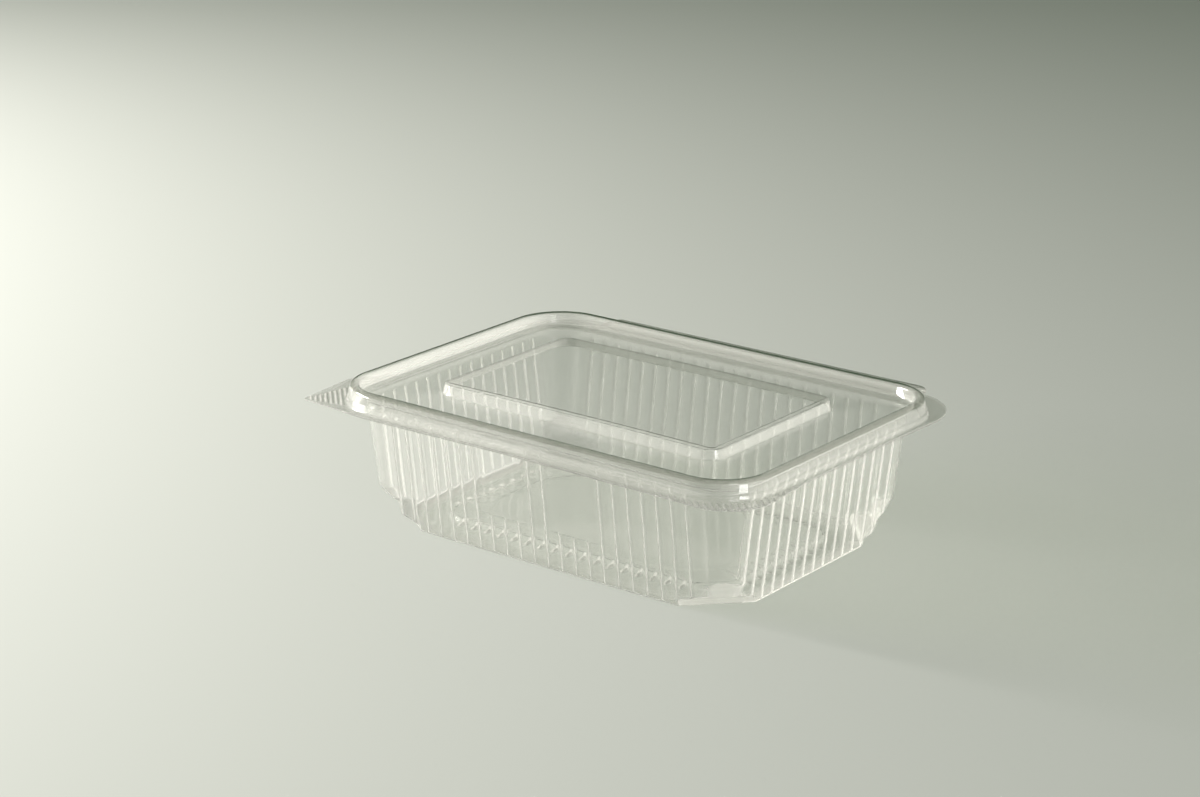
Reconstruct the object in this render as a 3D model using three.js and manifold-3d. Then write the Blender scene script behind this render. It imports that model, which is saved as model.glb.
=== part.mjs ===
// Hinged takeaway meal container in clear thermoformed sheet, shut and empty.
// Millimetres, +Z up. The tray stands on z = 0 and the hinge runs along the +Y side.
import * as THREE from 'three';
import Module from 'manifold-3d';
import { mergeVertices } from 'three/addons/utils/BufferGeometryUtils.js';

const wasm = await Module();
wasm.setup();

// Sheet and the gap between tray and lid
const sheet = 0.45;
const gap = 0.3;
const overlap = 4;
const arcStep = Math.PI / 14;

// Tray walls
const footHalfX = 76.5;
const footHalfY = 52.1;
const draft = 0.12;
const wallRadiusFoot = 5.5;
const wallRadiusGrow = 0.115;
const wallTop = 46;
const wallFlare = 0.8;

// Ribs pressed outward in the walls
const ribPitch = 6.15;
const ribHalfWidth = 1.25;
const ribCrestHalf = 0.5;
const ribProud = 0.7;
const ribBury = 0.4;
const ribFoot = 0.4;
const ribFull = 1.2;
const ribShoulder = 44.9;
const ribTop = 46;
const longRibs = 22;
const shortRibs = 15;

// Smooth windows in the front wall, above a shelf
const shelfHeight = 15;
const shelfTop = 15.6;
const shelfRound = 0.5;
const windowFirst = 4.3;
const windowLast = 26.5;
const windowProud = 0.6;
const windowBevel = 0.5;

// Smooth upright posts at the four corners, above the steps
const postProud = 0.6;
const postFoot = 12.4;
const postFull = 13.4;

// Corner steps: height above the ground and length cut from each side
const cornerSteps = [[-2, 19.4], [2.5, 19.2], [5, 11.8], [9, 11.2], [12.8, 4.2]];
const cornerMargin = 6;
const stepLift = 0.75;
const stepShorten = 0.6;

// Floor raised inside the foot ring, with flutes running out over the ring
const floorHalfX = 62.4;
const floorHalfY = 36.8;
const floorRadius = 12;
const floorRise = 1.6;
const floorSlope = 1.2;
const below = 1;
const fluteLength = 3.6;
const fluteCrestLength = 2.4;
const fluteHalfWidth = 0.9;
const fluteRise = 0.8;
const ovalHalfX = 54;
const ovalHalfY = 33;
const ovalRise = 0.4;
const ovalSteps = 28;
const ovalSquareness = 0.6;
const ovalSlope = 1.5;

// Tray rim
const trayFlangeTop = 45;
const rimTop = 47.2;
const rimHalfX = 88.5;
const rimHalfY = 63.2;
const rimRadius = 19.5;
const rimMouth = 0.35;
const rimFoot = 0.4;
const rimRound = 0.5;
const rimCrown = 0.4;
const flangeInset = 0.5;

// Lid: flange, skirt, bead, recessed panel and plateau
const lidFlangeTop = trayFlangeTop + gap + sheet;
const skirtStep = 47.8;
const skirtFoot = 1.4;
const skirtUnder = 1.1;
const skirtOver = 0.6;
const stepHalf = 0.1;
const beadTop = 52.47;
const beadHalfX = 90;
const beadHalfY = 64.7;
const beadRadius = 20.8;
const beadShoulder = 1;
const beadRound = 0.35;
const beadCrown = 0.8;
const beadWidth = 3.4;
const beadInnerRadius = 17;
const beadInnerFoot = -1.1;
const beadInnerHigh = -0.2;
const beadInnerTop = 0.1;
const panelTop = 48;
const plateauTop = 52.1;
const plateauHalfX = 59.1;
const plateauHalfY = 34.9;
const plateauRadius = 5;
const plateauFoot = 1.2;
const plateauHigh = 0.2;
const plateauRound = 0.3;

// Flange outline: corner x, y and the radius that rounds it
const flangeCorners = [
  [-8, -67, 400],
  [-72, -68.4, 60],
  [-99.3, -66.9, 2],
  [-102.5, -37.5, 7],
  [-92.6, -28, 12],
  [-92.4, 25, 40],
  [-94, 75, 22],
  [94, 75, 22],
  [92.4, 25, 40],
  [92.6, -28, 30],
  [97.2, -70.9, 17],
];

// The tray's own ears are set back from the lid's at the two front corners
const earCorners = [2, 10];
const earSetBack = 2.3;

// Grip ridges on the opening ear
const ridgeCount = 9;
const ridgePitch = 1.8;
const ridgeHalfWidth = 0.45;
const ridgeHeight = 0.35;
const ridgeFirstX = -97.2;
const ridgeFirstY = -64.6;
const ridgeShort = 1.6;
const ridgeLong = 10;
const ridgeGrow = 7;
const ridgeEnd = 0.3;

// Folded hinge, a long hollow bead in two halves
const hingeMidX = 1;
const hingeMidY = 78.4;
const hingeHalfLength = 72;
const hingeHalfWidth = 4.2;
const hingeRise = 3.3;
const hingeDrop = 2.8;
const hingeAngles = [0, 0.42, 0.84, 1.2, 1.42];

function arc(cx, cy, radius, from, to) {
  const steps = Math.max(2, Math.ceil(Math.abs(to - from) / arcStep));
  const points = [];
  for (let i = 0; i <= steps; i += 1) {
    const angle = from + ((to - from) * i) / steps;
    points.push([cx + radius * Math.cos(angle), cy + radius * Math.sin(angle)]);
  }
  return points;
}

// Anticlockwise rectangle with round corners
function roundRect(halfX, halfY, radius) {
  const quarter = Math.PI / 2;
  const points = [];
  const signs = [[1, 1], [-1, 1], [-1, -1], [1, -1]];
  signs.forEach(([sx, sy], i) => {
    const cx = sx * (halfX - radius);
    const cy = sy * (halfY - radius);
    points.push(...arc(cx, cy, radius, i * quarter, (i + 1) * quarter));
  });
  return points;
}

// Closed solid through loops that have the same number of points, lowest first
function loft(levels) {
  const count = levels[0].loop.length;
  const positions = [];
  const index = [];
  for (const level of levels) {
    for (const [x, y] of level.loop) {
      positions.push(x, y, level.z);
    }
  }
  for (let k = 0; k + 1 < levels.length; k += 1) {
    for (let i = 0; i < count; i += 1) {
      const a = k * count + i;
      const b = k * count + ((i + 1) % count);
      index.push(a, b, b + count, a, b + count, a + count);
    }
  }
  const shape = levels[0].loop.map(([x, y]) => new THREE.Vector2(x, y));
  const top = (levels.length - 1) * count;
  for (const [a, b, c] of THREE.ShapeUtils.triangulateShape(shape, [])) {
    index.push(a, c, b, top + a, top + b, top + c);
  }
  return solid(positions, index);
}

function solid(positions, index) {
  let geometry = new THREE.BufferGeometry();
  geometry.setAttribute('position', new THREE.Float32BufferAttribute(positions, 3));
  geometry.setIndex(index);
  geometry = mergeVertices(geometry, 0.00001);
  return new wasm.Manifold(new wasm.Mesh({
    numProp: 3,
    vertProperties: new Float32Array(geometry.attributes.position.array),
    triVerts: new Uint32Array(geometry.index.array),
  }));
}

// Loop turned by quarter turns, so one rib or step serves every side
function turned(loop, quarters) {
  const c = Math.round(Math.cos((quarters * Math.PI) / 2));
  const s = Math.round(Math.sin((quarters * Math.PI) / 2));
  return loop.map(([x, y]) => [x * c - y * s, x * s + y * c]);
}

function wallRadius(z) {
  return wallRadiusFoot + wallRadiusGrow * z;
}

function wallHalf(side, z) {
  return (side % 2 === 0 ? footHalfY : footHalfX) + draft * z;
}

// Upright swelling on one side of the tray; side 0 is the front, then anticlockwise
function swelling(side, middle, halfWidth, crestHalf, proud, heights, inset) {
  const [foot, full, shoulder, top] = heights;
  const slope = (halfWidth - crestHalf) / proud;
  const section = (z, rise) => {
    const wall = wallHalf(side, z) - inset;
    const root = halfWidth + ribBury * slope;
    const tip = halfWidth - rise * slope;
    return turned([
      [middle - root, ribBury - wall],
      [middle - tip, -wall - rise],
      [middle + tip, -wall - rise],
      [middle + root, ribBury - wall],
    ], side);
  };
  return loft([
    { z: foot, loop: section(foot, -ribBury / 2) },
    { z: full, loop: section(full, proud) },
    { z: shoulder, loop: section(shoulder, proud) },
    { z: top, loop: section(top, -ribBury / 2) },
  ]);
}

function ribs(inset) {
  const list = [];
  for (let side = 0; side < 4; side += 1) {
    const count = side % 2 === 0 ? longRibs : shortRibs;
    for (let i = 0; i < count; i += 1) {
      const middle = (i - (count - 1) / 2) * ribPitch;
      const reach = Math.abs(middle);
      const short = side === 0 && reach > windowFirst && reach < windowLast;
      const shoulder = short ? shelfHeight - shelfRound : ribShoulder;
      const top = short ? shelfTop : ribTop;
      const heights = [ribFoot + inset, ribFull + inset, shoulder, top];
      list.push(swelling(side, middle, ribHalfWidth, ribCrestHalf, ribProud, heights, inset));
    }
  }
  return list;
}

function windows(inset) {
  const middle = (windowFirst + windowLast) / 2;
  const half = (windowLast - windowFirst) / 2;
  const heights = [shelfHeight - shelfRound, shelfHeight, ribShoulder, ribTop];
  return [-middle, middle].map((x) => (
    swelling(0, x, half, half - windowBevel, windowProud, heights, inset)
  ));
}

// Quarter round posts that stand out a little from the walls on each side of them
function posts(inset) {
  const list = [];
  const quarter = Math.PI / 2;
  [[1, 1], [-1, 1], [-1, -1], [1, -1]].forEach(([sx, sy], i) => {
    const section = (z, proud) => {
      const radius = wallRadius(z);
      const cx = sx * (footHalfX + draft * z - inset - radius);
      const cy = sy * (footHalfY + draft * z - inset - radius);
      return { z, loop: [[cx, cy], ...arc(cx, cy, radius + proud, i * quarter, (i + 1) * quarter)] };
    };
    list.push(loft([
      section(postFoot, -ribBury),
      section(postFull, postProud),
      section(ribShoulder, postProud),
      section(ribTop, -ribBury),
    ]));
  });
  return list;
}

// Slice cut away at each lower corner
function cornerCuts(inset) {
  const cuts = [];
  for (const [sx, sy] of [[1, 1], [-1, 1], [-1, -1], [1, -1]]) {
    const levels = cornerSteps.map(([height, length]) => {
      const z = height + stepLift * inset;
      const x = footHalfX + draft * z - inset;
      const y = footHalfY + draft * z - inset;
      const cut = length - stepShorten * inset + cornerMargin;
      const outX = x + cornerMargin;
      const outY = y + cornerMargin;
      const loop = [[x - cut, outY], [outX, y - cut], [outX, outY]];
      const placed = loop.map(([px, py]) => [px * sx, py * sy]);
      return { z, loop: sx * sy > 0 ? placed : placed.reverse() };
    });
    cuts.push(loft(levels));
  }
  return cuts;
}

// Raised floor: hollow below for the outside, a step above for the inside
function floorStep(inset) {
  const low = inset - below;
  const top = floorRise + inset;
  const spread = floorSlope * ((top - low) / floorRise);
  const step = (out) => {
    const grow = inset / 2 - floorSlope + out;
    return roundRect(floorHalfX + grow, floorHalfY + grow, floorRadius);
  };
  const pieces = [loft([{ z: low, loop: step(spread) }, { z: top, loop: step(0) }])];
  const oval = (grown) => {
    const points = [];
    for (let i = 0; i < ovalSteps; i += 1) {
      const angle = (i * 2 * Math.PI) / ovalSteps;
      const c = Math.cos(angle);
      const s = Math.sin(angle);
      points.push([
        (ovalHalfX + grown) * Math.sign(c) * Math.abs(c) ** ovalSquareness,
        (ovalHalfY + grown) * Math.sign(s) * Math.abs(s) ** ovalSquareness,
      ]);
    }
    return points;
  };
  pieces.push(loft([
    { z: top - floorRise / 2, loop: oval(0) },
    { z: top, loop: oval(0) },
    { z: top + ovalRise, loop: oval(-ovalSlope) },
  ]));
  return pieces;
}

function flutes(inset) {
  const list = [];
  for (let side = 0; side < 4; side += 1) {
    const half = side % 2 === 0 ? floorHalfY : floorHalfX;
    const span = (side % 2 === 0 ? floorHalfX : floorHalfY) - floorRadius;
    const count = Math.floor(span / ribPitch);
    const shift = side % 2 === 0 ? 0 : 0.5;
    for (let i = -count; i <= count - 2 * shift; i += 1) {
      const middle = (i + shift) * ribPitch;
      const section = (z, reach, width) => ({
        z,
        loop: turned([
          [middle - width, overlap - half],
          [middle - width, -half - reach],
          [middle + width, -half - reach],
          [middle + width, overlap - half],
        ], side),
      });
      list.push(loft([
        section(inset - below, fluteLength, fluteHalfWidth),
        section(inset + fluteRise, fluteCrestLength, fluteHalfWidth / 2),
      ]));
    }
  }
  return list;
}

// Outer form of the tray for inset 0, its inside for inset = sheet
function trayForm(inset) {
  const levels = [inset, wallTop];
  const mouth = inset > 0 ? [[rimTop - rimMouth, 0], [rimTop, rimMouth], [rimTop + 2, rimMouth]]
    : [[rimTop - sheet / 2, wallFlare]];
  const loops = levels.map((z) => ({
    z,
    loop: roundRect(footHalfX + draft * z - inset, footHalfY + draft * z - inset, wallRadius(z)),
  }));
  for (const [z, out] of mouth) {
    const grow = draft * wallTop - inset + out;
    loops.push({ z, loop: roundRect(footHalfX + grow, footHalfY + grow, wallRadius(wallTop)) });
  }
  let form = loft(loops);
  for (const piece of [...ribs(inset), ...windows(inset), ...posts(inset)]) {
    form = form.add(piece);
  }
  for (const piece of [...cornerCuts(inset), ...floorStep(inset), ...flutes(inset)]) {
    form = form.subtract(piece);
  }
  return form;
}

// Outline with its corners rounded, moved inward by inset
function outline(corners, inset) {
  const count = corners.length;
  const moved = corners.map((corner, i) => {
    const before = corners[(i + count - 1) % count];
    const after = corners[(i + 1) % count];
    const a = new THREE.Vector2(corner[0] - before[0], corner[1] - before[1]).normalize();
    const b = new THREE.Vector2(after[0] - corner[0], after[1] - corner[1]).normalize();
    const turn = a.x * b.y - a.y * b.x;
    const scale = inset / (1 + a.dot(b));
    const x = corner[0] + (a.y + b.y) * scale;
    const y = corner[1] - (a.x + b.x) * scale;
    return { x, y, a, b, turn, radius: corner[2] + (turn > 0 ? inset : -inset) };
  });
  const points = [];
  for (const { x, y, a, b, turn, radius } of moved) {
    const half = Math.abs(Math.atan2(turn, a.dot(b))) / 2;
    const back = radius * Math.tan(half);
    const side = Math.sign(turn);
    const cx = x - a.x * back - a.y * radius * side;
    const cy = y - a.y * back + a.x * radius * side;
    const from = Math.atan2(y - a.y * back - cy, x - a.x * back - cx);
    points.push(...arc(cx, cy, radius, from, from + 2 * half * side));
  }
  return points.reverse();
}

function plate(low, high, corners, inset) {
  const loop = outline(corners, inset);
  return loft([{ z: low, loop }, { z: high, loop }]);
}

// Tray: rim and flange over the walls, then the inside taken out
function rimForm(inset) {
  const grow = (out) => roundRect(rimHalfX + out - inset, rimHalfY + out - inset, rimRadius);
  return loft([
    { z: trayFlangeTop - overlap, loop: grow(rimFoot) },
    { z: trayFlangeTop - inset, loop: grow(rimFoot) },
    { z: rimTop - inset - rimCrown, loop: grow(0) },
    { z: rimTop - inset, loop: grow(-rimRound) },
  ]);
}

function stadium(halfLength, halfWidth) {
  const quarter = Math.PI / 2;
  const run = halfLength - hingeHalfWidth;
  return [
    ...arc(hingeMidX + run, hingeMidY, halfWidth, -quarter, quarter),
    ...arc(hingeMidX - run, hingeMidY, halfWidth, quarter, 3 * quarter),
  ];
}

// Half of the hollow hinge bead; up = 1 for the lid, -1 for the tray
function hingeForm(up, level, rise, inset) {
  const half = hingeHalfWidth - inset;
  const levels = hingeAngles.map((angle) => ({
    z: level + up * (rise - inset) * Math.sin(angle),
    loop: stadium(hingeHalfLength, half * Math.cos(angle)),
  }));
  if (inset > 0) {
    levels.unshift({ z: level - up * overlap, loop: levels[0].loop });
  }
  return loft(up > 0 ? levels : levels.reverse());
}

function tray() {
  const flangeLow = trayFlangeTop - sheet;
  const corners = flangeCorners.map(([x, y, radius], i) => {
    const back = earCorners.includes(i) ? earSetBack : 0;
    return [x - Math.sign(x) * back, y - Math.sign(y) * back, radius];
  });
  let body = plate(flangeLow, trayFlangeTop, corners, flangeInset);
  body = body.add(rimForm(0));
  const clear = roundRect(rimHalfX + overlap, rimHalfY + overlap, rimRadius);
  body = body.subtract(loft([
    { z: flangeLow - 2 * overlap, loop: clear },
    { z: flangeLow, loop: clear },
  ]));
  body = body.subtract(rimForm(sheet));
  body = body.add(trayForm(0));
  body = body.add(hingeForm(-1, trayFlangeTop, hingeDrop, 0));
  body = body.subtract(hingeForm(-1, trayFlangeTop, hingeDrop, sheet));
  return body.subtract(trayForm(sheet));
}

function lidForm(inset) {
  const low = lidFlangeTop - sheet;
  const bead = (out) => {
    const grow = out - inset;
    return roundRect(beadHalfX + grow, beadHalfY + grow, beadRadius + out);
  };
  let form = loft([
    { z: low - (inset > 0 ? overlap : 0), loop: bead(skirtFoot) },
    { z: lidFlangeTop - inset, loop: bead(skirtFoot) },
    { z: skirtStep - stepHalf - inset, loop: bead(skirtUnder) },
    { z: skirtStep + stepHalf - inset, loop: bead(skirtOver) },
    { z: beadTop - inset - beadShoulder, loop: bead(0) },
    { z: beadTop - inset - beadRound, loop: bead(-beadRound) },
    { z: beadTop - inset, loop: bead(-beadRound - beadCrown) },
  ]);
  const inner = (out) => {
    const grow = inset + out - beadWidth;
    return roundRect(beadHalfX + grow, beadHalfY + grow, beadInnerRadius);
  };
  form = form.subtract(loft([
    { z: panelTop - inset, loop: inner(beadInnerFoot) },
    { z: beadTop - inset - beadRound, loop: inner(beadInnerHigh) },
    { z: beadTop - inset, loop: inner(beadInnerTop) },
    { z: beadTop + overlap, loop: inner(beadInnerTop) },
  ]));
  const plateau = (out) => {
    const grow = out - inset;
    const radius = plateauRadius + Math.max(out, 0);
    return roundRect(plateauHalfX + grow, plateauHalfY + grow, radius);
  };
  return form.add(loft([
    { z: panelTop - inset - sheet / 3, loop: plateau(plateauFoot) },
    { z: panelTop - inset, loop: plateau(plateauFoot) },
    { z: plateauTop - inset - plateauRound, loop: plateau(plateauHigh) },
    { z: plateauTop - inset, loop: plateau(-plateauRound) },
  ]));
}

// Grip ridges across the diagonal of the opening ear
function ridges() {
  const list = [];
  const diagonal = Math.SQRT1_2;
  const strip = (cx, cy, half, width) => [
    [cx + (half - width) * diagonal, cy - (half + width) * diagonal],
    [cx + (half + width) * diagonal, cy - (half - width) * diagonal],
    [cx - (half - width) * diagonal, cy + (half + width) * diagonal],
    [cx - (half + width) * diagonal, cy + (half - width) * diagonal],
  ];
  for (let i = 0; i < ridgeCount; i += 1) {
    const along = i * ridgePitch * diagonal;
    const half = ridgeShort + (Math.min(i, ridgeGrow) * (ridgeLong - ridgeShort)) / ridgeGrow;
    const cx = ridgeFirstX + along;
    const cy = ridgeFirstY + along;
    list.push(loft([
      { z: lidFlangeTop - sheet / 2, loop: strip(cx, cy, half, ridgeHalfWidth) },
      { z: lidFlangeTop, loop: strip(cx, cy, half, ridgeHalfWidth) },
      { z: lidFlangeTop + ridgeHeight, loop: strip(cx, cy, half - ridgeEnd, ridgeHalfWidth / 3) },
    ]));
  }
  return list;
}

function lid() {
  const low = lidFlangeTop - sheet;
  let body = plate(low, lidFlangeTop, flangeCorners, 0);
  for (const ridge of ridges()) {
    body = body.add(ridge);
  }
  body = body.add(lidForm(0));
  body = body.add(hingeForm(1, low, hingeRise, 0));
  body = body.subtract(hingeForm(1, low, hingeRise, sheet));
  return body.subtract(lidForm(sheet));
}

const group = new THREE.Group();
const clear = new THREE.MeshStandardMaterial({ color: 0xe6ebe6, roughness: 0.15 });
clear.transparent = true;
clear.opacity = 0.5;

// The origin is the middle of the whole thing's box
const box = new THREE.Box3();
const parts = { tray: tray(), lid: lid() };
for (const [name, body] of Object.entries(parts)) {
  const mesh = body.getMesh();
  let geometry = new THREE.BufferGeometry();
  geometry.setAttribute('position', new THREE.Float32BufferAttribute(mesh.vertProperties, 3));
  geometry.setIndex(Array.from(mesh.triVerts));
  geometry = geometry.toNonIndexed();
  geometry.computeVertexNormals();
  geometry.computeBoundingBox();
  box.union(geometry.boundingBox);
  const piece = new THREE.Mesh(geometry, clear.clone());
  piece.name = name;
  group.add(piece);
}
const middle = box.getCenter(new THREE.Vector3());
for (const piece of group.children) {
  piece.geometry.translate(-middle.x, -middle.y, -box.min.z);
}
export default group;
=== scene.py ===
import math

import bmesh
import bpy
import numpy as np
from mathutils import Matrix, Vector


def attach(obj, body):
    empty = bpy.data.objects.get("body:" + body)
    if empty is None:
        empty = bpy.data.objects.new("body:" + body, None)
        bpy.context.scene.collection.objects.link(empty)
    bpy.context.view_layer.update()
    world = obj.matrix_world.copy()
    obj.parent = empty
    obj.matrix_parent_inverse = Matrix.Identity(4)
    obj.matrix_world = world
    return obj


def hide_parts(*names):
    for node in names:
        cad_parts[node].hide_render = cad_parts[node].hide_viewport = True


# Sizes of the pieces are in millimetres from the middle of the tray, z up from the ground
sheet = {"thickness": 0.32, "middleX": 3.5215, "middleY": -6.2138}


def toFrame(points):
    moved = np.array(points, float)[..., :3]
    moved[..., 0] += sheet["middleX"]
    moved[..., 1] += sheet["middleY"]
    return moved / 1000.0


def middleOfTray():
    return Vector((sheet["middleX"], sheet["middleY"], 0)) / 1000.0


def ease(value):
    t = np.clip(value, 0.0, 1.0)
    return t * t * (3.0 - 2.0 * t)


# Points of one row, their height and how hazy the sheet is there, with its painted highlight and painted shade
def row(place, z, hazeAndPaintedLight=0.0):
    count = len(place)
    return np.column_stack([place[:, :2], np.broadcast_to(z, count), np.broadcast_to(hazeAndPaintedLight, count)])


# A closed band of faces: points holds rows x columns x 4, in millimetres, with the haze and painted light last
def bandOf(bm, points):
    rows, columns = points.shape[:2]
    made = bmesh.ops.create_grid(bm, x_segments=columns, y_segments=rows - 1, size=1.0)["verts"]
    places = toFrame(points)
    layer = bm.verts.layers.float["hazeAndPaintedLight"]
    table = [[None] * (columns + 1) for j in range(rows)]
    for vert in made:
        i = int(round((vert.co.x + 1.0) / 2.0 * columns))
        j = int(round((vert.co.y + 1.0) / 2.0 * (rows - 1)))
        table[j][i] = vert
    for j in range(rows):
        for i in range(columns + 1):
            table[j][i].co = Vector(places[j, i % columns])
            table[j][i][layer] = points[j, i % columns, 3]
    targets = {table[j][columns]: table[j][0] for j in range(rows)}
    bmesh.ops.weld_verts(bm, targetmap=targets)
    return [line[:columns] for line in table]


# Joins two rings with different counts, walking round both by their angle from the middle
def joinLoops(bm, one, other):
    middle = middleOfTray()

    def inOrder(ring):
        angles = [math.atan2(vert.co.y - middle.y, vert.co.x - middle.x) for vert in ring]
        first = angles.index(min(angles))
        ring = ring[first:] + ring[:first]
        angles = angles[first:] + angles[:first]
        return ring + [ring[0]], angles + [angles[0] + 2 * math.pi]

    near, nearAngles = inOrder(one)
    far, farAngles = inOrder(other)
    i = j = 0
    while i < len(near) - 1 or j < len(far) - 1:
        stepNear = j == len(far) - 1 or (i < len(near) - 1 and nearAngles[i + 1] < farAngles[j + 1])
        if stepNear:
            bm.faces.new((near[i], near[i + 1], far[j]))
            i += 1
        else:
            bm.faces.new((near[i], far[j + 1], far[j]))
            j += 1


# Adds how sharply the sheet bends at each point, and its open edges, to its haze: partly the haze a pressed sheet has
# at its bends, partly painted highlight standing for the glints along bends and edges
def addBendHazeAndHighlight(bm, amount, edgeAmount):
    layer = bm.verts.layers.float["hazeAndPaintedLight"]
    own = {vert: vert[layer] for vert in bm.verts}
    for edge in bm.edges:
        if len(edge.link_faces) == 2:
            one, other = edge.link_faces
            apart = (one.calc_center_median() - other.calc_center_median()).length * 1000 + 0.05
            bend = amount * float(ease((edge.calc_face_angle(0.0) / apart - 0.35) / 0.9))
        else:
            bend = edgeAmount
        for vert in edge.verts:
            vert[layer] = max(vert[layer], own[vert] + bend)


def finishPiece(bm, name, material, body, node, up, piece):
    bmesh.ops.remove_doubles(bm, verts=bm.verts, dist=2e-6)
    bmesh.ops.recalc_face_normals(bm, faces=bm.faces)
    if sum(face.normal.z * face.calc_area() for face in bm.faces) * up < 0:
        bmesh.ops.reverse_faces(bm, faces=bm.faces)
    addBendHazeAndHighlight(bm, piece["bendHazeAndHighlight"], piece["edgeHazeAndHighlight"])
    mesh = bpy.data.meshes.new(name)
    bm.to_mesh(mesh)
    bm.free()
    mesh.shade_smooth()
    shell = bpy.data.objects.new(name, mesh)
    bpy.context.collection.objects.link(shell)
    mesh.materials.append(material)
    solid = shell.modifiers.new("sheetThickness", "SOLIDIFY")
    solid.thickness = sheet["thickness"] / 1000.0
    solid.offset = -1.0
    solid.use_even_offset = False
    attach(shell, body)
    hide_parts(node)
    print("made", name, len(mesh.polygons), "faces")


# Places on a round-cornered rectangle: track is zone + fraction, 0 to 8, anticlockwise from the right end
# of the back right corner; even zones are corners and odd ones are straight
def rectLoop(halfX, halfY, corner, track):
    zone = np.floor(track).astype(int) % 8
    part = track - np.floor(track)
    quarter = zone // 2
    signX = np.array([1, -1, -1, 1])
    signY = np.array([1, 1, -1, -1])
    coreX, coreY = halfX - corner, halfY - corner

    def onCorner(which, angle):
        x = signX[which] * coreX + corner * np.cos(angle)
        y = signY[which] * coreY + corner * np.sin(angle)
        return np.stack([x, y], -1)

    start = np.where(zone % 2 == 0, part, 1.0)
    here = onCorner(quarter, (quarter + start) * math.pi / 2)
    there = onCorner((quarter + 1) % 4, (quarter + 1) * math.pi / 2)
    mix = np.where(zone % 2 == 1, part, 0.0)[:, None]
    return here * (1 - mix) + there * mix


def trackOf(x, y, coreX, coreY):
    if abs(x) <= coreX:
        if y > 0:
            return 1 + (coreX - x) / (2 * coreX)
        return 5 + (x + coreX) / (2 * coreX)
    if abs(y) <= coreY:
        if x < 0:
            return 3 + (coreY - y) / (2 * coreY)
        return 7 + (y + coreY) / (2 * coreY)
    turn = math.atan2(abs(y) - coreY, abs(x) - coreX) / (math.pi / 2)
    if x > 0:
        return turn if y > 0 else 7 - turn
    return 3 - turn if y > 0 else 4 + turn


# The flange of both halves. Its corners have the radius that rounds each, clockwise from the front
flange = {
    "corners": [
        (-8, -67, 400), (-72, -68.4, 60), (-99.3, -66.9, 2), (-102.5, -37.5, 7), (-92.6, -28, 12), (-92.4, 25, 40),
        (-94, 75, 22), (94, 75, 22), (92.4, 25, 40), (92.6, -28, 30), (97.2, -70.9, 17),
    ],
    "ears": (2, 10),           # which of the corners are the ears
    "back": 75, "arcStep": 0.09, "longestStep": 2.3,
    "rows": (0.12, 0.3, 0.45, 0.51, 0.535, 0.56, 0.59, 0.64, 0.71, 0.79, 0.86, 0.915, 0.955, 0.98, 0.993, 1.0),
    "trackEvening": 0.03,
}

# The bead that the hinge is rolled into stands on the flange from the line named from
hinge = {"middleX": 1.0, "middleY": 78.1, "halfRun": 67.8, "half": 3.8, "from": 74.9, "root": 0.45, "endSteps": 14}


# The flange's edge, anticlockwise, moved inward by inset, with the hinge standing out at the back
def flangeOutline(inset, earInset=0.0):
    corners = [Vector(corner[:2]) for corner in flange["corners"]]
    for i in flange["ears"]:
        corners[i] -= Vector((math.copysign(earInset, corners[i].x), math.copysign(earInset, corners[i].y)))
    count = len(corners)
    points = []
    for i in range(count):
        before = (corners[i] - corners[i - 1]).normalized()
        after = (corners[(i + 1) % count] - corners[i]).normalized()
        scale = inset / (1 + before.dot(after))
        place = corners[i] + Vector((before.y + after.y, -before.x - after.x)) * scale
        turn = before.x * after.y - before.y * after.x
        radius = flange["corners"][i][2] + (inset if turn > 0 else -inset)
        half = abs(math.atan2(turn, before.dot(after))) / 2
        back = radius * math.tan(half)
        side = 1 if turn > 0 else -1
        centre = place - before * back + Vector((-before.y, before.x)) * radius * side
        start = place - before * back - centre
        first = math.atan2(start.y, start.x)
        steps = max(3, math.ceil(2 * half / flange["arcStep"]))
        for k in range(steps + 1):
            angle = first + 2 * half * side * k / steps
            points.append((centre.x + radius * math.cos(angle), centre.y + radius * math.sin(angle)))
    edge = addHingeEnds(points[::-1], flange["back"] - inset)
    return spaced(edge, flange["longestStep"])


def addHingeEnds(edge, backY):
    reach = math.asin((hinge["middleY"] - backY) / hinge["half"])
    right, left = hinge["middleX"] + hinge["halfRun"], hinge["middleX"] - hinge["halfRun"]
    around = []
    for end, first, last in ((right, -reach, math.pi / 2), (left, math.pi / 2, math.pi + reach)):
        for angle in np.linspace(first, last, hinge["endSteps"]):
            around.append((end + hinge["half"] * math.cos(angle), hinge["middleY"] + hinge["half"] * math.sin(angle)))

    def backCrossing(i):
        return edge[i][1] > backY - 0.01 and edge[i][0] > 0 and edge[(i + 1) % len(edge)][0] < 0

    cut = next(i for i in range(len(edge)) if backCrossing(i))
    return edge[:cut + 1] + around + edge[cut + 1:]


def spaced(edge, longest):
    points = []
    for i, (x, y) in enumerate(edge):
        nextX, nextY = edge[(i + 1) % len(edge)]
        gap = math.hypot(nextX - x, nextY - y)
        if gap < 0.05:
            continue
        steps = max(1, math.ceil(gap / longest))
        for k in range(steps):
            points.append((x + (nextX - x) * k / steps, y + (nextY - y) * k / steps))
    return np.array(points)


# Each outline point's track round the bead, kept in order past the hinge's ends
def outlineTracks(edge):
    coreX, coreY = lid["beadX"] - lid["beadCorner"], lid["beadY"] - lid["beadCorner"]
    tracks = np.array([trackOf(x, y, coreX, coreY) for x, y in edge])
    first = int(np.argmin(tracks))
    edge = np.roll(edge, -first, axis=0)
    tracks = np.roll(tracks, -first)
    tracks = np.maximum.accumulate(tracks)
    count = len(tracks)
    tracks = tracks * (1 - flange["trackEvening"]) + np.arange(count) * 8.0 / count * flange["trackEvening"]
    return edge, tracks


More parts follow.
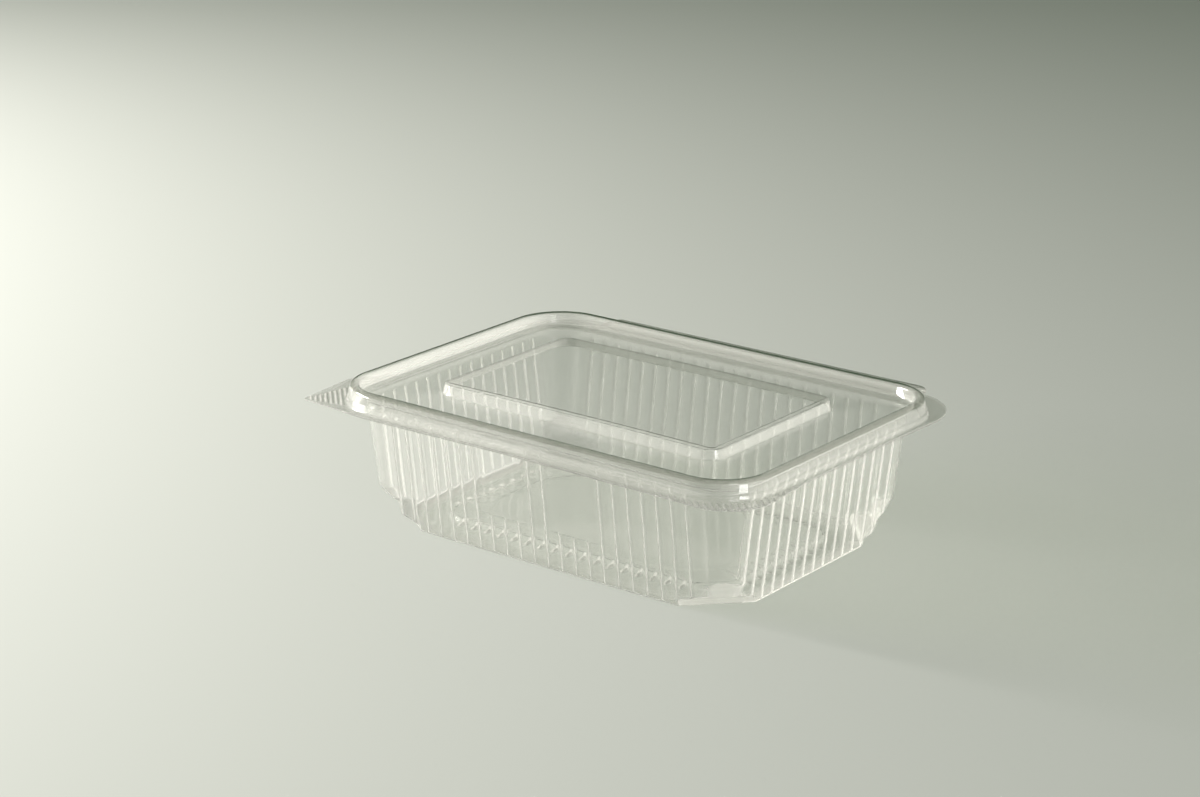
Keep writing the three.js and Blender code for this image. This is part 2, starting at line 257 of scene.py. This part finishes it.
def hingeBulge(x, y):
    alongside = np.clip(x, hinge["middleX"] - hinge["halfRun"], hinge["middleX"] + hinge["halfRun"])
    away = np.hypot(x - alongside, y - hinge["middleY"]) / hinge["half"]
    return np.sqrt(np.clip(1 - away * away, 0, 1))


# Rows from the foot of the bead to the flange's edge
def flangeRows(foot, edge, level, hingeTop, up, hazeAndPaintedLight):
    rows = []
    root = level - up * hinge["root"]
    for part in flange["rows"]:
        place = foot * (1 - part) + edge * part
        bulge = hingeBulge(place[:, 0], place[:, 1])
        tip = hingeTop * bulge + root
        outside = place[:, 1] > hinge["from"]
        z = np.where(bulge > 0, np.maximum(up * tip, np.where(outside, -1e9, up * level)) * up, level)
        z = np.where((bulge <= 0) & outside & (place[:, 1] > hinge["middleY"]), root, z)
        rows.append(row(place, z, hazeAndPaintedLight))
    return rows


# The raised floor of the tray, with flutes round its foot and a shallow oval in its middle
base = {
    "halfX": 62.4, "halfY": 36.8, "corner": 12.0, "rise": 1.7, "slope": 1.4, "cornerSteps": 14, "longestStep": 0.6,
    "fluteReach": 4.2, "fluteHalf": 1.1, "fluteRise": 0.95, "fluteLong": 8, "fluteShort": 3, "flutePaintedGlint": 5.0,
    "ovalX": 54.0, "ovalY": 33.0, "ovalPower": 3.3,
    "aways": (6.0, 4.4, 4.0, 3.5, 2.9, 2.3, 1.7, 1.1, 0.6, 0.2, -0.1, -0.4, -0.7, -1.0, -1.3, -1.6),
    "ovalSteps": ((1.2, 0.0), (0.6, 0.04), (0.1, 0.14), (-0.4, 0.28), (-0.9, 0.4), (-1.5, 0.45)),
    "ovalRise": 0.45, "ovalInside": (-6.0, -16.0, -28.0),
}


def floorStations():
    def straight(half):
        steps = round(2 * half / base["longestStep"])
        return np.arange(0, steps) / steps

    arc = np.arange(0, base["cornerSteps"]) / base["cornerSteps"]
    longRun = straight(base["halfX"] - base["corner"])
    shortRun = straight(base["halfY"] - base["corner"])
    runs = [arc, longRun, arc, shortRun] * 2
    return np.concatenate([zone + run for zone, run in enumerate(runs)])


def floorLoop(track, away):
    place = rectLoop(base["halfX"] + away, base["halfY"] + away, base["corner"] + away, track)
    zone = np.floor(track).astype(int)
    pitch = tray["ribPitch"]
    x, y = place.T
    acrossLong = x - np.clip(np.round(x / pitch), -base["fluteLong"], base["fluteLong"]) * pitch
    slot = np.clip(np.round(y / pitch - 0.5), -base["fluteShort"] - 1, base["fluteShort"])
    acrossShort = y - (slot + 0.5) * pitch
    onLong, onShort = (zone == 1) | (zone == 5), (zone == 3) | (zone == 7)
    across = np.where(onLong, acrossLong, np.where(onShort, acrossShort, 9.0))     # no flutes at the corners
    step = base["rise"] * ease(-away / base["slope"])
    width = ease((base["fluteHalf"] - np.abs(across)) / 0.7)
    flute = base["fluteRise"] * ease((base["fluteReach"] - away) / 2.6) * width
    z = (step ** 4 + flute ** 4) ** 0.25
    # the flute crests get a painted glint in the haze
    return row(place, z, base["flutePaintedGlint"] * flute / base["fluteRise"])


def ovalLoop(track, grow, z):
    place = rectLoop(base["halfX"], base["halfY"], base["corner"], track)
    angle = np.arctan2(place[:, 1], place[:, 0])
    halfX, halfY, power = base["ovalX"] + grow, base["ovalY"] + grow, base["ovalPower"]
    reach = (np.abs(np.cos(angle) / halfX) ** power + np.abs(np.sin(angle) / halfY) ** power) ** (-1 / power)
    return row(np.column_stack([reach * np.cos(angle), reach * np.sin(angle)]), z)


# The walls of the tray
tray = {
    "footX": 76.5, "footY": 52.1, "draft": 0.12, "cornerFoot": 5.5, "cornerGrow": 0.115, "footRound": 0.8,
    "ribPitch": 6.15, "lastLong": 10, "lastShort": 7,
    "ribHalf": 1.3, "ribProud": 0.68, "ribSoft": 0.85, "ribLow": 1.7, "ribHigh": 43.2, "ribTaper": 0.45,
    "windowMiddle": 15.4, "windowHalf": 10.4, "windowFoot": 15.0, "windowTop": 45.0, "windowCorner": 1.5,
    "windowProud": 0.6, "shelfFrom": 4.5, "shelfTo": 26.3,      # ribs between these end under the windows
    "postX": 70.7, "postY": 46.2, "postFoot": 12.8, "postTop": 45.9, "postProud": 0.58, "softEdge": 0.8,
    "cutHeights": [0.0, 2.5, 5.0, 9.0, 12.8, 60.0], "cutLengths": [19.3, 19.2, 11.8, 11.2, 4.2, -6.0], "cutTop": 13.7,
    "ribStops": [-1.32, -0.95, -0.5, 0.5, 0.95, 1.32], "cornerStops": 20,
    "lastX": 69.9, "lastY": 45.6,       # where the straight runs of columns end
    "crowdX": (54.5, 0.313), "crowdY": (33.0, 0.222),       # where they crowd near the ground, and how much
    "heights": [
        0.0, 0.1, 0.3, 0.55, 0.8, 1.2, 1.7, 2.2, 2.5, 2.8, 3.4, 4.2, 4.7, 5.0, 5.4, 6.4, 7.8, 8.6, 9.0, 9.4,
        10.4, 11.4, 12.2, 12.8, 13.1, 13.4, 13.7, 14.1, 14.8, 15.2, 15.6, 16.0, 16.6, 17.6, 42.6, 43.4,
        44.0, 44.5, 45.0, 45.4, 45.7, 46.0,
    ],
    # bends and open edges whiten the sheet, partly as its own haze and partly as painted highlight
    "bendHazeAndHighlight": 0.6, "edgeHazeAndHighlight": 2.0,
    "longRibPaintedHighlight": 0.7, "shortRibPaintedHighlight": 1.65, "facetPaintedHighlight": 2.4, "footPaintedGlint": 5.5, "flangeHaze": 0.4,
}

# The rim over the walls. Its profiles are pairs of how far out and how high
rim = {
    "flange": 44.6, "halfX": 88.1, "halfY": 62.8, "corner": 19.3, "inset": 0.5, "earInset": 2.3, "hingeDrop": 2.8,
    "neck": ((0.02, 46.15), (0.12, 46.4), (0.35, 46.62), (0.7, 46.76), (1.2, 46.8)),
    "skirt": (
        (-1.4, 46.8), (-0.8, 46.72), (-0.35, 46.5), (-0.1, 46.15), (0.05, 45.6), (0.2, 45.15), (0.35, 44.85),
        (0.6, 44.68), (0.9, 44.6),
    ),
}


# Columns of the wall as kind, value and signs: kind 0 is a corner, 1 a long wall and 2 a short one
def wallStations():
    pitch = tray["ribPitch"]

    def run(middles, last):
        places = [middle + offset for middle in middles for offset in tray["ribStops"]]
        places += [middle + pitch / 2 for middle in middles[:-1]]
        return np.array(sorted(place for place in places if abs(place) < last) + [last])

    longRun = run([(k + 0.5) * pitch for k in range(-tray["lastLong"] - 1, tray["lastLong"] + 1)], tray["lastX"])
    shortRun = run([k * pitch for k in range(-tray["lastShort"], tray["lastShort"] + 1)], tray["lastY"])
    longRun[0] = -tray["lastX"]
    shortRun[0] = -tray["lastY"]
    share = np.linspace(0, 1, tray["cornerStops"])[1:-1]
    order = []
    for signX, signY, upward, stops, kind, runSign in (
        (1, 1, True, longRun[::-1], 1, 1), (-1, 1, False, shortRun[::-1], 2, -1),
        (-1, -1, True, longRun, 1, -1), (1, -1, False, shortRun, 2, 1),
    ):
        for value in (share if upward else share[::-1]):
            order.append((0, value, signX, signY))
        for value in stops:
            order.append((kind, value, runSign, runSign))
    return np.array(order)


def cutSum(z):
    spread = np.array([-0.35, 0.0, 0.35])
    length = np.interp(z + spread, tray["cutHeights"], tray["cutLengths"]).mean()
    return tray["footX"] + tray["footY"] + 2 * tray["draft"] * z - length


def ribHeight(u, z, long, high):
    pitch, last = tray["ribPitch"], tray["lastLong"] if long else tray["lastShort"]
    shift = 0.5 if long else 0.0
    nearest = (np.clip(np.round(u / pitch - shift), 0, last) + shift) * pitch
    above = np.maximum((z - high) * tray["ribTaper"], np.maximum(tray["ribLow"] - z, 0.0))
    away = np.hypot(u - nearest, above)
    return tray["ribProud"] * ease((tray["ribHalf"] - away) / tray["ribSoft"])


def windowHeight(u, z):
    corner = tray["windowCorner"]
    sideways = abs(u - tray["windowMiddle"]) - tray["windowHalf"] + corner
    upright = tray["windowFoot"] - z + corner + np.maximum(z - tray["windowTop"], 0) * 2
    beyond = np.hypot(np.maximum(sideways, 0), np.maximum(upright, 0))
    away = beyond + np.minimum(np.maximum(sideways, upright), 0) - corner
    return tray["windowProud"] * ease(-away / tray["softEdge"])


# Near the ground the columns past start are drawn together, out of the deep cut of the corner
def crowded(u, z, start, share):
    low = float(np.clip((5.0 - z) / 2.5, 0, 1))
    return np.where(u > start, start + (u - start) * (1 - low * (1 - share)), u)


def wallLevel(stations, z):
    kind, value, signX, signY = stations.T
    halfX = tray["footX"] + tray["draft"] * z
    halfY = tray["footY"] + tray["draft"] * z
    corner = tray["cornerFoot"] + tray["cornerGrow"] * z
    size = np.abs(value)
    u = np.where(kind == 1, crowded(size, z, *tray["crowdX"]), crowded(size, z, *tray["crowdY"]))
    lastX = crowded(tray["lastX"], z, *tray["crowdX"])
    lastY = crowded(tray["lastY"], z, *tray["crowdY"])
    coreX, coreY = halfX - corner, halfY - corner

    # straight runs, in the first quarter
    arcY = coreY + np.sqrt(np.clip(corner ** 2 - np.maximum(u - coreX, 0) ** 2, 0, None))
    arcX = coreX + np.sqrt(np.clip(corner ** 2 - np.maximum(u - coreY, 0) ** 2, 0, None))
    front = (kind == 1) & (signY < 0)
    overShelf = front & (u > tray["shelfFrom"]) & (u < tray["shelfTo"])
    high = np.where(overShelf, tray["windowFoot"] + 0.2, tray["ribHigh"])
    postUp = ease((z - tray["postFoot"]) / 1.3) * ease((tray["postTop"] - z) / 1.2)

    def postRise(inside):
        return tray["postProud"] * ease(inside / tray["softEdge"]) * postUp

    longRise = np.maximum(ribHeight(u, z, True, high), postRise(u - tray["postX"]))
    longRise = np.where(front, np.maximum(longRise, windowHeight(u, z)), longRise)
    shortRise = np.maximum(ribHeight(u, z, False, tray["ribHigh"]), postRise(u - tray["postY"]))

    # corners, by their share of the way from the short run to the long one
    start = math.atan2(lastY - coreY, corner)
    end = math.atan2(corner, lastX - coreX)
    angle = start + (end - start) * value
    reach = np.where(angle < 0, corner / np.cos(np.minimum(angle, 0)), corner)
    reach = np.where(angle > math.pi / 2, corner / np.sin(np.maximum(angle, math.pi / 2)), reach)
    turnX, turnY = coreX + reach * np.cos(angle), coreY + reach * np.sin(angle)
    rise = postRise(np.where(value > 0.5, turnX - tray["postX"], turnY - tray["postY"]))
    turnX, turnY = turnX + rise * np.cos(angle), turnY + rise * np.sin(angle)
    x = np.where(kind == 0, turnX, np.where(kind == 1, u, arcX + shortRise))
    y = np.where(kind == 0, turnY, np.where(kind == 1, arcY + longRise, u))

    # the corner steps, and the small radius at the foot
    over = x + y - cutSum(z)
    over = 0.5 * (over + np.sqrt(over * over + 0.16)) * ease((tray["cutTop"] - z) / 0.9)
    share = np.where(kind == 0, value, np.where(kind == 1, 1.0, 0.0))
    curl = tray["footRound"]
    if z < curl:
        over = over + curl - math.sqrt(curl ** 2 - (curl - z) ** 2)
    total = x + y - over
    apart = x - y - (1 - 2 * share) * over

    # columns spread evenly over a deep cut
    atShort, atLong = max(0.0, halfX + lastY - cutSum(z)), max(0.0, lastX + halfY - cutSum(z))
    even = (halfX - atShort - lastY) * (1 - share) + (lastX - halfY + atLong) * share
    evened = np.where(kind == 0, np.clip((over - 2.0) / 2.5, 0, 1), 0.0)
    apart = apart * (1 - evened) + even * evened
    x, y = (total + apart) / 2, (total - apart) / 2
    x = np.where(kind == 1, np.sign(value) * x, signX * x)
    y = np.where(kind == 2, np.sign(value) * y, signY * y)

    # painted highlights on the ribs and the cut corners, and a painted glint along the foot of the short walls,
    # carried in the haze
    ribs = np.where(kind == 1, longRise, np.where(kind == 2, shortRise, 0.0)) / tray["ribProud"]
    ribs = np.where(front & (windowHeight(u, z) > 0.05), 0.0, ribs)
    ribPaintedHighlight = np.where(kind == 2, tray["shortRibPaintedHighlight"], tray["longRibPaintedHighlight"])
    hazeAndPaintedLight = ribPaintedHighlight * ribs + tray["facetPaintedHighlight"] * ease((over - 0.35) / 0.6)
    hazeAndPaintedLight += np.where(kind == 2, tray["footPaintedGlint"] * float(ease((0.9 - z) / 0.5)), 0.0)
    return row(np.column_stack([x, y]), z, hazeAndPaintedLight)


def makeTray(material):
    bm = bmesh.new()
    bm.verts.layers.float.new("hazeAndPaintedLight")

    # floor
    track = floorStations()
    rows = [floorLoop(track, away) for away in base["aways"]]
    rows += [ovalLoop(track, grow, base["rise"] + z) for grow, z in base["ovalSteps"]]
    floorTable = bandOf(bm, np.array(rows))
    coarse = np.arange(0, 8, 1 / 8)
    top = base["rise"] + base["ovalRise"]
    middle = bandOf(bm, np.array([ovalLoop(coarse, grow, top) for grow in base["ovalInside"]]))
    joinLoops(bm, floorTable[-1], middle[0])
    bm.faces.new(middle[-1])

    # walls
    stations = wallStations()
    wallTable = bandOf(bm, np.array([wallLevel(stations, z) for z in tray["heights"]]))
    joinLoops(bm, wallTable[0], floorTable[0])

    # rim and flange
    edge, track = outlineTracks(flangeOutline(rim["inset"], rim["earInset"]))
    wallTop = tray["heights"][-1]
    wallX = tray["footX"] + tray["draft"] * wallTop
    wallY = tray["footY"] + tray["draft"] * wallTop
    corner = tray["cornerFoot"] + tray["cornerGrow"] * wallTop
    rows = [row(rectLoop(wallX + out, wallY + out, corner + out, track), z) for out, z in rim["neck"]]
    for out, z in rim["skirt"]:
        rows.append(row(rectLoop(rim["halfX"] + out, rim["halfY"] + out, rim["corner"] + out, track), z))
    foot = rows[-1][:, :2]
    rows += flangeRows(foot, edge, rim["flange"], -rim["hingeDrop"], -1, tray["flangeHaze"])
    rimTable = bandOf(bm, np.array(rows))
    joinLoops(bm, wallTable[-1], rimTable[0])
    finishPiece(bm, "trayShell", material, "tray_body", "tray", -1, tray)


# The lid. Its profiles are pairs of how far out and how high, and on the plateau how far out and how far down
lid = {
    "flange": 45.75, "beadX": 90.0, "beadY": 64.7, "beadCorner": 20.8, "beadWidth": 3.4, "beadInnerCorner": 17.0,
    "earInset": 0.1, "hingeRise": 1.6,
    "plateau": 51.9, "plateauX": 59.1, "plateauY": 34.9, "plateauCorner": 2.0, "plateauLeastCorner": 1.5, "crown": 0.4,
    "plateauTop": (
        (-33.0, -0.02), (-24.0, -0.02), (-12.0, -0.02), (-4.0, -0.02), (-1.2, -0.02), (-0.4, 0.0), (-0.15, 0.02),
        (0.0, 0.1), (0.12, 0.2), (0.3, 0.24), (1.35, 0.3), (1.62, 0.42), (1.78, 0.7),
    ),
    "plateauPaintedShadeLines": {0.0: -0.8, 1.62: -0.4},         # how far out the lines of painted shade run round the plateau, and their haze
    "plateauSlope": ((1.9, 50.9), (2.7, 48.5), (2.85, 48.22), (3.1, 48.06), (3.5, 48.0)),
    "beadInside": (
        (-5.0, 48.0), (-2.2, 48.0), (-1.7, 48.06), (-1.35, 48.25), (-1.15, 48.6), (-0.45, 51.4), (-0.25, 51.9),
        (0.1, 52.22), (0.6, 52.4), (1.2, 52.45),
    ),
    "beadOutside": (
        (-1.5, 52.42), (-0.95, 52.3), (-0.5, 52.08), (-0.18, 51.7), (0.0, 51.1), (0.45, 48.3), (0.55, 48.0),
        (0.75, 47.82), (0.98, 47.7), (1.08, 47.45), (1.25, 46.5), (1.35, 46.15), (1.5, 45.92), (1.75, 45.8), (2.0, 45.75),
    ),
    "wallFrom": 48.1, "wallTo": 51.5,           # heights between which a slope counts as a wall
    "bendHazeAndHighlight": 0.35, "edgeHazeAndHighlight": 1.0,
    # the bead's crest gets haze below nothing, which greys it as painted shade
    "wallHaze": 0.65, "slopeHaze": 1.2, "flangeHaze": 1.0, "crestPaintedShade": -1.0,
}

# Pressed into the ears: ridges across the left one and rows of dots along the right one
grip = {
    "finest": 0.55, "leftX": -60, "rightX": 56, "rightY": -36, "corner": 128, "beadClear": 1.95,
    "pitch": 1.8, "firstX": -97.2, "firstY": -64.6, "count": 11, "short": 1.6, "long": 10.0, "grow": 7,
    "height": 0.3, "half": 0.65, "soft": 0.45,
    "dotPitchX": 1.85, "dotPitchY": 2.1, "dotHeight": 0.14, "dotHalf": 0.7, "hazeAndPaintedLight": 4.0,
}


# How far the grip stands up at a place of the flange
def gripRise(x, y):
    diagonal = math.sqrt(0.5)
    along = (x - grip["firstX"] + y - grip["firstY"]) * diagonal
    across = abs(x - grip["firstX"] - y + grip["firstY"]) * diagonal
    if x < 0:
        number = min(max(round(along / grip["pitch"]), 0), grip["count"] - 1)
        reach = grip["short"] + min(number, grip["grow"]) * (grip["long"] - grip["short"]) / grip["grow"]
        away = math.hypot(along - number * grip["pitch"], max(0.0, across - reach))
        return grip["height"] * float(ease((grip["half"] - away) / grip["soft"]))
    sideways = (x - y) * diagonal / grip["dotPitchX"]
    outward = (x + y) * diagonal / grip["dotPitchY"]
    away = math.hypot((sideways - round(sideways)) * grip["dotPitchX"], (outward - round(outward)) * grip["dotPitchY"])
    return grip["dotHeight"] * float(ease((grip["dotHalf"] - away) / grip["soft"]))


def pressGrips(bm):
    layer = bm.verts.layers.float["hazeAndPaintedLight"]
    middle = middleOfTray()
    coreX, coreY = lid["beadX"] - lid["beadCorner"], lid["beadY"] - lid["beadCorner"]

    def onEar(place):
        x, y, z = (place - middle) * 1000.0
        fromBead = math.hypot(max(abs(x) - coreX, 0), max(abs(y) - coreY, 0)) - lid["beadCorner"]
        left = x < grip["leftX"] and x + y < -grip["corner"]
        right = x > grip["rightX"] and x - y > grip["corner"] and y < grip["rightY"]
        return (left or right) and abs(z - lid["flange"]) < 0.03 and fromBead > grip["beadClear"]

    for halving in range(4):
        faces = [face for face in bm.faces if onEar(face.calc_center_median())]
        edges = {edge for face in faces for edge in face.edges if edge.calc_length() * 1000 > grip["finest"]}
        bmesh.ops.subdivide_edges(bm, edges=list(edges), cuts=1, use_grid_fill=True)
    outer = {vert for edge in bm.edges if edge.is_boundary for vert in edge.verts}
    for vert in {vert for face in faces for vert in face.verts} - outer:
        if onEar(vert.co):
            x, y, z = (vert.co - middle) * 1000.0
            rise = gripRise(x, y)
            vert.co.z += rise / 1000.0
            # the ridges and dots get a painted highlight in the haze
            vert[layer] += grip["hazeAndPaintedLight"] * rise / grip["height"]
    print("pressed grips into", len(faces), "faces")


def plateauPlace(out, track):
    corner = max(lid["plateauLeastCorner"], lid["plateauCorner"] + 2 * out)
    return rectLoop(lid["plateauX"] + out, lid["plateauY"] + out, corner, track)


def plateauRows(track):
    rows = []
    for out, drop in lid["plateauTop"]:
        place = plateauPlace(out, track)
        along = np.cos(np.clip(place[:, 0] / lid["plateauX"], -1, 1) * math.pi / 2)
        # lines of painted shade run round the plateau's edge
        rows.append(row(place, lid["plateau"] - drop + lid["crown"] * along, lid["plateauPaintedShadeLines"].get(out, 0.0)))
    for out, z in lid["plateauSlope"]:
        hazeAndPaintedLight = lid["slopeHaze"] if lid["wallFrom"] < z < lid["wallTo"] else 0.0
        rows.append(row(plateauPlace(out, track), z, hazeAndPaintedLight))
    return rows


def makeLid(material):
    bm = bmesh.new()
    bm.verts.layers.float.new("hazeAndPaintedLight")
    edge, track = outlineTracks(flangeOutline(lid["earInset"]))
    rows = plateauRows(track)
    innerX, innerY = lid["beadX"] - lid["beadWidth"], lid["beadY"] - lid["beadWidth"]
    for out, z in lid["beadInside"]:
        hazeAndPaintedLight = lid["wallHaze"] if lid["wallFrom"] < z < lid["wallTo"] else 0.0
        rows.append(row(rectLoop(innerX + out, innerY + out, lid["beadInnerCorner"] + out, track), z, hazeAndPaintedLight))
    for out, z in lid["beadOutside"]:
        # the crest above the wall is greyed as painted shade
        hazeAndPaintedLight = lid["wallHaze"] if z < lid["wallTo"] else lid["crestPaintedShade"]
        rows.append(row(rectLoop(lid["beadX"] + out, lid["beadY"] + out, lid["beadCorner"] + out, track), z, hazeAndPaintedLight))
    foot = rows[-1][:, :2]
    rows += flangeRows(foot, edge, lid["flange"], lid["hingeRise"], 1, lid["flangeHaze"])
    table = bandOf(bm, np.array(rows))
    bm.faces.new(table[0])
    pressGrips(bm)
    finishPiece(bm, "lidShell", material, "lid_body", "lid", 1, lid)


clearPlastic = {
    "tint": (0.99, 0.99, 0.985, 1), "crestPaintedShadeColor": (0.72, 0.725, 0.69, 1), "shadow": (0.987, 0.99, 0.982, 1),
    "roughness": 0.05, "ior": 1.38, "veilAndPaintedHighlight": (0.86, 0.83, 0.835, 1), "veilShare": 0.04, "hazeShare": 0.14,
}


# Clear sheet with a faint white veil that grows where the sheet is hazy or bent sharply and where highlights are
# painted, and that greys where shade is painted
def makeClearPlastic():
    material = bpy.data.materials.new("clearPlastic")
    material.use_nodes = True
    nodes, links = material.node_tree.nodes, material.node_tree.links
    nodes.clear()
    shader = nodes.new("ShaderNodeBsdfPrincipled")
    hazeAndPaintedLight = nodes.new("ShaderNodeAttribute")
    hazeAndPaintedLight.attribute_name = "hazeAndPaintedLight"
    paintedShadeMix = nodes.new("ShaderNodeMix")         # haze below nothing greys the sheet in place of whitening it, as painted shade
    paintedShadeMix.data_type = "RGBA"
    paintedShadeMix.inputs[6].default_value = clearPlastic["tint"]          # inputs 6 and 7 are the two colours
    paintedShadeMix.inputs[7].default_value = clearPlastic["crestPaintedShadeColor"]
    paintedShadeAmount = nodes.new("ShaderNodeMath")
    paintedShadeAmount.operation = "MULTIPLY"
    paintedShadeAmount.inputs[1].default_value = -1.0
    paintedShadeAmount.use_clamp = True
    links.new(hazeAndPaintedLight.outputs["Fac"], paintedShadeAmount.inputs[0])
    links.new(paintedShadeAmount.outputs[0], paintedShadeMix.inputs[0])
    links.new(paintedShadeMix.outputs[2], shader.inputs["Base Color"])
    shader.inputs["Roughness"].default_value = clearPlastic["roughness"]
    shader.inputs["IOR"].default_value = clearPlastic["ior"]
    shader.inputs["Transmission Weight"].default_value = 1.0
    # the white veil, which also carries the painted highlights
    lit = nodes.new("ShaderNodeBsdfDiffuse")
    lit.inputs["Color"].default_value = clearPlastic["veilAndPaintedHighlight"]
    backlit = nodes.new("ShaderNodeBsdfTranslucent")
    backlit.inputs["Color"].default_value = clearPlastic["veilAndPaintedHighlight"]
    veilAndPaintedHighlight = nodes.new("ShaderNodeMixShader")
    veilAndPaintedHighlight.inputs[0].default_value = 0.5
    links.new(lit.outputs[0], veilAndPaintedHighlight.inputs[1])
    links.new(backlit.outputs[0], veilAndPaintedHighlight.inputs[2])
    share = nodes.new("ShaderNodeMath")
    share.use_clamp = True
    share.operation = "MULTIPLY_ADD"
    share.inputs[1].default_value = clearPlastic["hazeShare"]
    share.inputs[2].default_value = clearPlastic["veilShare"]
    links.new(hazeAndPaintedLight.outputs["Fac"], share.inputs[0])
    hazy = nodes.new("ShaderNodeMixShader")
    links.new(share.outputs[0], hazy.inputs[0])
    links.new(shader.outputs[0], hazy.inputs[1])
    links.new(veilAndPaintedHighlight.outputs[0], hazy.inputs[2])
    through = nodes.new("ShaderNodeBsdfTransparent")
    through.inputs["Color"].default_value = clearPlastic["shadow"]
    path = nodes.new("ShaderNodeLightPath")
    soft = nodes.new("ShaderNodeMath")       # light that reaches or leaves the floor passes straight through
    soft.operation = "MAXIMUM"
    links.new(path.outputs["Is Shadow Ray"], soft.inputs[0])
    links.new(path.outputs["Is Diffuse Ray"], soft.inputs[1])
    mix = nodes.new("ShaderNodeMixShader")
    links.new(soft.outputs[0], mix.inputs[0])
    links.new(hazy.outputs[0], mix.inputs[1])
    links.new(through.outputs[0], mix.inputs[2])
    out = nodes.new("ShaderNodeOutputMaterial")
    links.new(mix.outputs[0], out.inputs["Surface"])
    return material


# Lamps are given to the left of the view, away from it and up, in metres
studio = {
    "azimuth": 37.866, "elevation": 18.262, "distance": 1.0139, "target": (-9.384, -8.391, 48.807), "lens": 85.39,
    "floorHalf": 6.0, "floorDrop": 0.00012, "floorColor": (0.70, 0.70, 0.70, 1), "floorRoughness": 0.8,
    "world": (0.42, 0.85, 0.38, 1), "worldStrength": 0.08,
    "key": {
        "from": (1.6, 0.22, 0.45), "to": (0.8, -0.48, -0.25), "size": (1.2, 0.31), "power": 88,
        "color": (1.0, 0.99, 0.905),
    },
    "window": {"from": (-0.55, -1.5, 0.75), "to": (0, 0, 0.03), "size": (0.5, 0.7), "power": 3, "color": (1, 1, 1)},
    "doorway": {"from": (-0.85, -1.2, 0.14), "to": (0, 0, 0.05), "size": (0.4, 0.3), "power": 4, "color": (1, 1, 1)},
}


def makeFloor():
    bm = bmesh.new()
    bmesh.ops.create_grid(bm, x_segments=1, y_segments=1, size=studio["floorHalf"])
    bmesh.ops.translate(bm, verts=bm.verts, vec=(0, 0, -studio["floorDrop"]))
    mesh = bpy.data.meshes.new("floor")
    bm.to_mesh(mesh)
    bm.free()
    material = bpy.data.materials.new("paleFloor")
    material.use_nodes = True
    shader = material.node_tree.nodes["Principled BSDF"]
    shader.inputs["Base Color"].default_value = studio["floorColor"]
    shader.inputs["Roughness"].default_value = studio["floorRoughness"]
    shader.inputs["Specular IOR Level"].default_value = 0.1
    mesh.materials.append(material)
    floor = bpy.data.objects.new("floor", mesh)
    bpy.context.collection.objects.link(floor)


def makeCamera(azimuth, elevation):
    target = Vector(toFrame([studio["target"]])[0])
    flat = math.cos(elevation)
    back = Vector((math.sin(azimuth) * flat, -math.cos(azimuth) * flat, math.sin(elevation)))
    camera = bpy.data.objects.new("camera", bpy.data.cameras.new("camera"))
    bpy.context.collection.objects.link(camera)
    camera.location = target + back * studio["distance"]
    camera.rotation_euler = (-back).to_track_quat("-Z", "Y").to_euler()
    camera.data.lens = studio["lens"]
    camera.data.sensor_width = 36.0
    camera.data.sensor_fit = "HORIZONTAL"
    camera.data.clip_end = 50
    bpy.context.scene.camera = camera


def softbox(name, azimuth):
    lamp = studio[name]
    left = Vector((-math.cos(azimuth), -math.sin(azimuth), 0))
    away = Vector((-math.sin(azimuth), math.cos(azimuth), 0))
    place, aim = (left * x + away * y + Vector((0, 0, z)) for x, y, z in (lamp["from"], lamp["to"]))
    data = bpy.data.lights.new(name, "AREA")
    data.shape = "RECTANGLE"
    data.size, data.size_y = lamp["size"]
    data.energy = lamp["power"]
    data.color = lamp["color"]
    light = bpy.data.objects.new(name, data)
    bpy.context.collection.objects.link(light)
    light.location = place
    light.rotation_euler = (aim - place).to_track_quat("-Z", "Y").to_euler()


def makeStudio():
    azimuth = math.radians(studio["azimuth"])
    makeFloor()
    makeCamera(azimuth, math.radians(studio["elevation"]))
    for name in ("key", "window", "doorway"):
        softbox(name, azimuth)
    world = bpy.data.worlds.new("studio")
    world.use_nodes = True
    backing = world.node_tree.nodes["Background"]
    backing.inputs["Color"].default_value = studio["world"]
    backing.inputs["Strength"].default_value = studio["worldStrength"]
    bpy.context.scene.world = world
    bpy.context.scene.view_settings.view_transform = "Standard"
    print("made studio")


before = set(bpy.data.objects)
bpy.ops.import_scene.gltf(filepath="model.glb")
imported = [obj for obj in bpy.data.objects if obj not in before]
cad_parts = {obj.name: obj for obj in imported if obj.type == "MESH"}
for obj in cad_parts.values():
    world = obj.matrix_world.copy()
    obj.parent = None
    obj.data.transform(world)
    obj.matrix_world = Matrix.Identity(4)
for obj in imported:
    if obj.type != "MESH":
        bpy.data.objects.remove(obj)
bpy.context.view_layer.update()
plastic = makeClearPlastic()
makeTray(plastic)
makeLid(plastic)
makeStudio()
